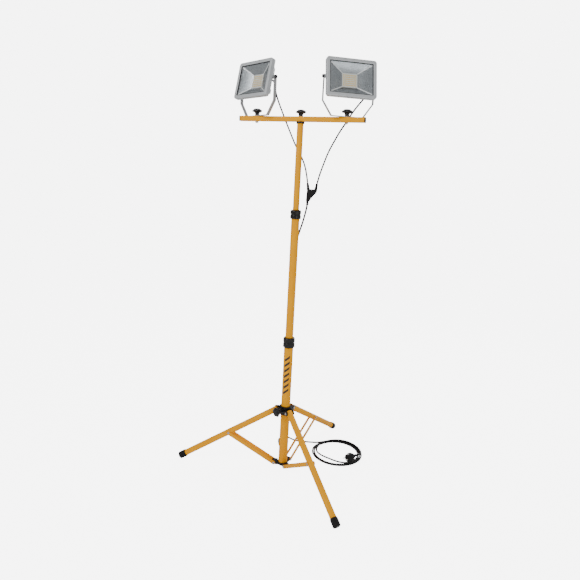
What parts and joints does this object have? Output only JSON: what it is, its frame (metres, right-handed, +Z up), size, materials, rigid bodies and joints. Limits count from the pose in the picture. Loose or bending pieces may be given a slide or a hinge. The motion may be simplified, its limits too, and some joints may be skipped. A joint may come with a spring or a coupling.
{
  "type": "work light",
  "caption": "Twin-lamp LED floodlight on a telescopic folding tripod, with a crossbar, clamp knobs and a mains cord.",
  "frame": {"origin": "on the mast axis at floor level, in the plane of the flat soles of the three feet", "axes": "+Z up along the mast, X along the crossbar, lamps facing -Y"},
  "size_m": [0.9074, 0.9156, 1.935],
  "materials": {
    "yellow_paint": "semi-gloss powder coat",
    "black_plastic": "semi-gloss moulded",
    "nylon": "matte",
    "zinc_steel": "zinc plated",
    "grey_paint": "satin grey coat on die-cast aluminium",
    "bracket_steel": "satin grey coat on steel strip",
    "black_rubber": "matte",
    "clear_glass": "clear toughened",
    "reflector_metal": "bright",
    "led_board": "white solder mask",
    "ivory_plastic": "matte",
    "cord_jacket": "matte"
  },
  "bodies": {
    "stand": {"lower_tube": "yellow_paint", "lower_hub": "black_plastic", "lower_hub_bolts": "zinc_steel", "lower_collet": "nylon", "main_cord": "cord_jacket", "cord_coil": "cord_jacket", "plug": "black_rubber"},
    "lower_lock": {"lower_lock_ring": "black_plastic"},
    "middle_mast": {"middle_tube": "yellow_paint", "middle_bush": "nylon", "upper_collet": "nylon"},
    "upper_lock": {"upper_lock_ring": "black_plastic"},
    "top_mast": {"top_tube": "yellow_paint", "top_bush": "nylon", "top_plug": "black_plastic"},
    "bar": {"crossbar": "yellow_paint", "bar_end_caps": "black_plastic", "bar_nuts": "zinc_steel", "left_pigtail": "cord_jacket", "right_pigtail": "cord_jacket", "splitter": "black_rubber"},
    "left_lamp_knob": {"left_knob": "black_plastic"},
    "bar_knob": {"centre_knob": "black_plastic"},
    "right_lamp_knob": {"right_knob": "black_plastic"},
    "hub": {"upper_hub": "black_plastic", "hub_bolts": "zinc_steel"},
    "hub_clamp": {"hub_knob": "black_plastic"},
    "left_bracket": {"left_yoke": "bracket_steel"},
    "left_lamp": {"left_housing": "grey_paint", "left_bezel": "grey_paint", "left_gasket": "black_rubber", "left_glass": "clear_glass", "left_reflector": "reflector_metal", "left_led_board": "led_board", "left_driver": "ivory_plastic", "left_tilt_screws": "black_plastic", "left_gland": "black_plastic"},
    "right_bracket": {"right_yoke": "bracket_steel"},
    "right_lamp": {"right_housing": "grey_paint", "right_bezel": "grey_paint", "right_gasket": "black_rubber", "right_glass": "clear_glass", "right_reflector": "reflector_metal", "right_led_board": "led_board", "right_driver": "ivory_plastic", "right_tilt_screws": "black_plastic", "right_gland": "black_plastic"},
    "front_brace": {"front_braces": "yellow_paint"},
    "front_strut": {"front_leg": "yellow_paint", "front_foot": "black_rubber", "front_rivet": "zinc_steel"},
    "back_brace": {"back_braces": "yellow_paint"},
    "back_strut": {"back_leg": "yellow_paint", "back_foot": "black_rubber", "back_rivet": "zinc_steel"},
    "left_brace": {"left_braces": "yellow_paint"},
    "left_strut": {"left_leg": "yellow_paint", "left_foot": "black_rubber", "left_rivet": "zinc_steel"}
  },
  "joints": [
    {"name": "fold", "type": "hinge", "parent": "stand", "child": "front_brace", "pos_m": [0.03195, -0.03309, 0.022], "axis": [-0.7193, -0.6947, 0], "range_deg": [0, 53.98]},
    {"name": "front_leg_pivot", "type": "hinge", "parent": "front_brace", "child": "front_strut", "pos_m": [0.1945, -0.20142, 0.1655], "axis": [-0.7193, -0.6947, 0], "range_deg": [-107.97, 0]},
    {"name": "hub_pivot", "type": "hinge", "parent": "front_strut", "child": "hub", "pos_m": [0.03195, -0.03309, 0.309], "axis": [-0.7193, -0.6947, 0], "range_deg": [0, 53.99]},
    {"name": "back_brace_pivot", "type": "hinge", "parent": "stand", "child": "back_brace", "pos_m": [0.01268, 0.04422, 0.022], "axis": [0.9613, -0.2756, 0], "range_deg": [0, 53.98]},
    {"name": "back_leg_pivot", "type": "hinge", "parent": "back_brace", "child": "back_strut", "pos_m": [0.07718, 0.26915, 0.1655], "axis": [0.9613, -0.2756, 0], "range_deg": [-107.97, 0]},
    {"name": "left_brace_pivot", "type": "hinge", "parent": "stand", "child": "left_brace", "pos_m": [-0.04463, -0.01113, 0.022], "axis": [-0.2419, 0.9703, 0], "range_deg": [0, 53.98]},
    {"name": "left_leg_pivot", "type": "hinge", "parent": "left_brace", "child": "left_strut", "pos_m": [-0.27168, -0.06774, 0.1655], "axis": [-0.2419, 0.9703, 0], "range_deg": [-107.97, 0]},
    {"name": "hub_clamp_turn", "type": "hinge", "parent": "hub", "child": "hub_clamp", "pos_m": [-0.02536, -0.05438, 0.313], "axis": [-0.4226, -0.9063, 0], "continuous": true},
    {"name": "lower_lock_turn", "type": "hinge", "parent": "stand", "child": "lower_lock", "pos_m": [0, 0, 0.659], "axis": [0, 0, 1], "range_deg": [0, 120]},
    {"name": "middle_slide", "type": "slide", "parent": "stand", "child": "middle_mast", "axis": [0, 0, -1], "range_m": [0, 0.54], "deforming": ["main_cord"]},
    {"name": "upper_lock_turn", "type": "hinge", "parent": "middle_mast", "child": "upper_lock", "pos_m": [0, 0, 1.272], "axis": [0, 0, 1], "range_deg": [0, 120]},
    {"name": "top_slide", "type": "slide", "parent": "middle_mast", "child": "top_mast", "axis": [0, 0, -1], "range_m": [0, 0.36]},
    {"name": "bar_swivel", "type": "hinge", "parent": "top_mast", "child": "bar", "pos_m": [0, 0, 1.69], "axis": [0, 0, 1], "range_deg": [-90, 90]},
    {"name": "bar_knob_turn", "type": "hinge", "parent": "bar", "child": "bar_knob", "pos_m": [0, 0, 1.71], "axis": [0, 0, 1], "continuous": true},
    {"name": "left_knob_turn", "type": "hinge", "parent": "bar", "child": "left_lamp_knob", "pos_m": [-0.207, 0, 1.71], "axis": [0, 0, 1], "continuous": true},
    {"name": "left_lamp_swivel", "type": "hinge", "parent": "bar", "child": "left_bracket", "pos_m": [-0.207, 0, 1.702], "axis": [0, 0, 1], "range_deg": [-60, 28]},
    {"name": "left_lamp_tilt", "type": "hinge", "parent": "left_bracket", "child": "left_lamp", "pos_m": [-0.207, 0, 1.858], "axis": [-0.8805, 0.4741, 0], "range_deg": [-57, 48], "deforming": ["left_pigtail"]},
    {"name": "right_knob_turn", "type": "hinge", "parent": "bar", "child": "right_lamp_knob", "pos_m": [0.207, 0, 1.71], "axis": [0, 0, 1], "continuous": true},
    {"name": "right_lamp_swivel", "type": "hinge", "parent": "bar", "child": "right_bracket", "pos_m": [0.207, 0, 1.702], "axis": [0, 0, 1], "range_deg": [-30, 60]},
    {"name": "right_lamp_tilt", "type": "hinge", "parent": "right_bracket", "child": "right_lamp", "pos_m": [0.207, 0, 1.858], "axis": [-0.8607, -0.509, 0], "range_deg": [-57, 48], "deforming": ["right_pigtail"]}
  ],
  "couplings": [
    {"joint": "front_leg_pivot", "follows": "fold", "ratio": -2},
    {"joint": "back_brace_pivot", "follows": "fold", "ratio": 1},
    {"joint": "back_leg_pivot", "follows": "fold", "ratio": -2},
    {"joint": "left_brace_pivot", "follows": "fold", "ratio": 1},
    {"joint": "left_leg_pivot", "follows": "fold", "ratio": -2},
    {"joint": "hub_pivot", "follows": "fold", "ratio": 1}
  ]
}
